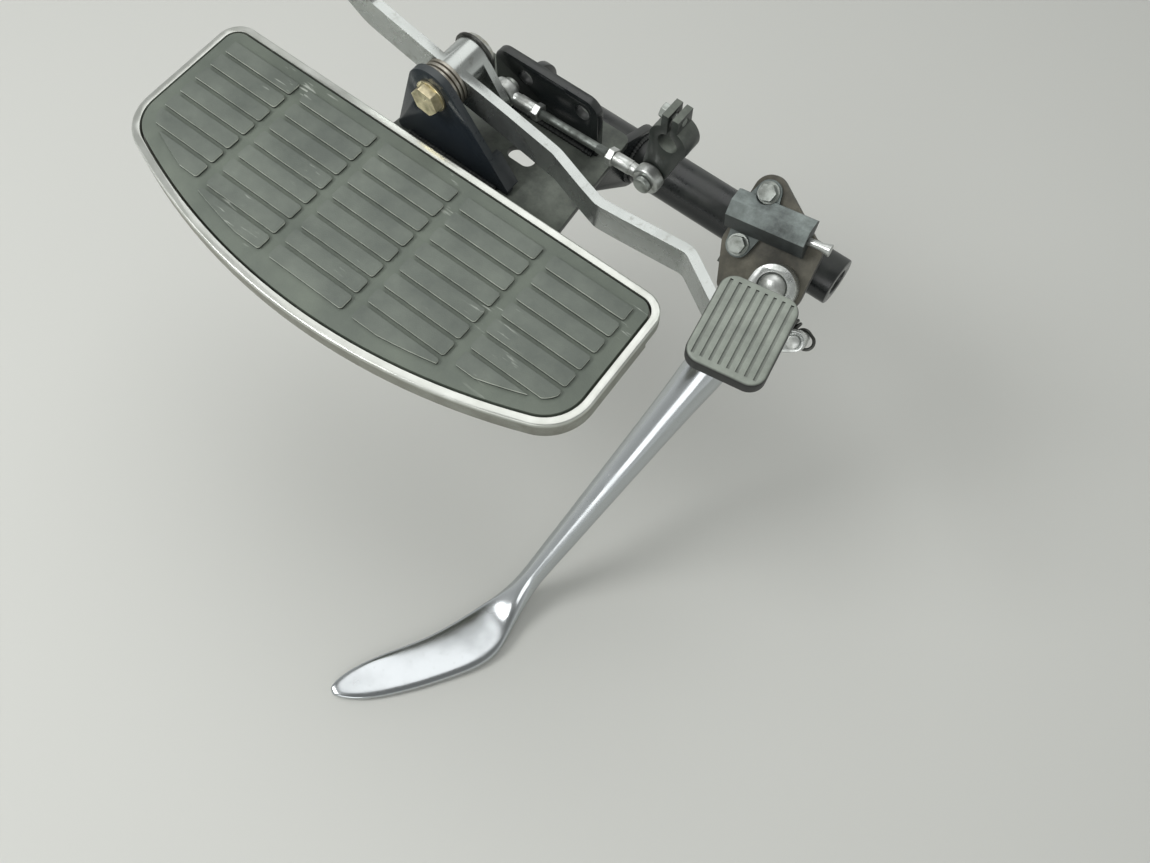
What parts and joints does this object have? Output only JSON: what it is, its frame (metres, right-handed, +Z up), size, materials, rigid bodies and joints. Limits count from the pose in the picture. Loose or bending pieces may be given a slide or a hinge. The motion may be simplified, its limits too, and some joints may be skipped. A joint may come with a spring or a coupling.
{
  "type": "motorcycle left footboard and side stand assembly",
  "caption": "Left footboard, heel and toe gear lever with its shift rod, and side stand of a cruiser motorcycle, on their bracket and a length of lower frame rail",
  "frame": {"origin": "Middle of the two mounting holes, on the inner face of the mounting plate", "axes": "X forward along the machine, Y to the left and outwards, Z up with the machine upright"},
  "size_m": [0.4146, 0.4114, 0.3267],
  "materials": {
    "black_paint": "worn satin",
    "cast_aluminium": "brushed",
    "lever_steel": "satin polished",
    "stand_chrome": "polished",
    "zinc_steel": "zinc plated",
    "spring_steel": "dull",
    "rubber": "worn",
    "switch_plastic": "moulded"
  },
  "bodies": {
    "frame_bracket": {"frame_rail": "black_paint", "mount_plate": "black_paint", "footboard_bracket": "black_paint", "rail_hangers": "black_paint", "hinge_pin_front": "zinc_steel", "hinge_pin_rear": "zinc_steel", "stop_bumper": "rubber", "lever_lug": "black_paint", "lever_pivot_bolt": "zinc_steel", "pivot_circlip": "zinc_steel", "lever_washers": "zinc_steel", "stand_plate": "black_paint", "stand_web": "black_paint", "stand_pivot_bolt": "zinc_steel", "stand_switch": "switch_plastic", "switch_plunger": "zinc_steel", "switch_bolts": "zinc_steel", "spring_post": "zinc_steel"},
    "footboard": {"footboard_pan": "cast_aluminium", "footboard_mat": "rubber"},
    "gear_lever_body": {"gear_lever": "lever_steel", "toe_peg_pin": "zinc_steel", "toe_peg_rubber": "rubber", "heel_pad": "rubber", "heel_pad_plate": "lever_steel", "front_eye_bolt": "zinc_steel"},
    "shift_rod_body": {"shift_rod": "zinc_steel", "rod_end_front": "zinc_steel", "rod_end_rear": "zinc_steel", "rod_lock_nuts": "zinc_steel"},
    "gearbox_arm_body": {"gearbox_arm": "black_paint", "arm_pinch_bolt": "zinc_steel", "rear_eye_bolt": "zinc_steel"},
    "side_stand": {"stand_neck": "stand_chrome", "spring_hook": "zinc_steel", "stand_leg": "stand_chrome"},
    "stand_spring_body": {"stand_spring": "spring_steel"}
  },
  "joints": [
    {"name": "footboard_fold", "type": "hinge", "parent": "frame_bracket", "child": "footboard", "pos_m": [0.018, 0.091, -0.022], "axis": [1, 0, 0], "range_deg": [0, 55]},
    {"name": "gear_lever_rock", "type": "hinge", "parent": "frame_bracket", "child": "gear_lever_body", "pos_m": [0.045, 0.038, 0.02], "axis": [0, 1, 0], "range_deg": [-7, 7]},
    {"name": "shift_rod_swing", "type": "hinge", "parent": "gear_lever_body", "child": "shift_rod_body", "pos_m": [0.0262, 0.021, -0.0022], "axis": [0, 1, 0], "range_deg": [-9, 9]},
    {"name": "gearbox_arm_turn", "type": "hinge", "parent": "frame_bracket", "child": "gearbox_arm_body", "pos_m": [-0.09, 0.0097, 0.034], "axis": [0, 1, 0], "range_deg": [-5.2, 5.2]},
    {"name": "side_stand_swing", "type": "hinge", "parent": "frame_bracket", "child": "side_stand", "pos_m": [-0.1732, 0.0054, -0.0486], "axis": [0, 0.6494, 0.7604], "range_deg": [0, 75]},
    {"name": "stand_spring_swing", "type": "hinge", "parent": "frame_bracket", "child": "stand_spring_body", "pos_m": [-0.15122, -0.00456, -0.06179], "axis": [0, 0.6494, 0.7604], "range_deg": [-1, 47]}
  ],
  "couplings": [
    {"joint": "shift_rod_swing", "follows": "gear_lever_rock", "ratio": -1.221},
    {"joint": "gearbox_arm_turn", "follows": "gear_lever_rock", "ratio": 0.714},
    {"joint": "stand_spring_swing", "follows": "side_stand_swing", "ratio": 0.619}
  ]
}
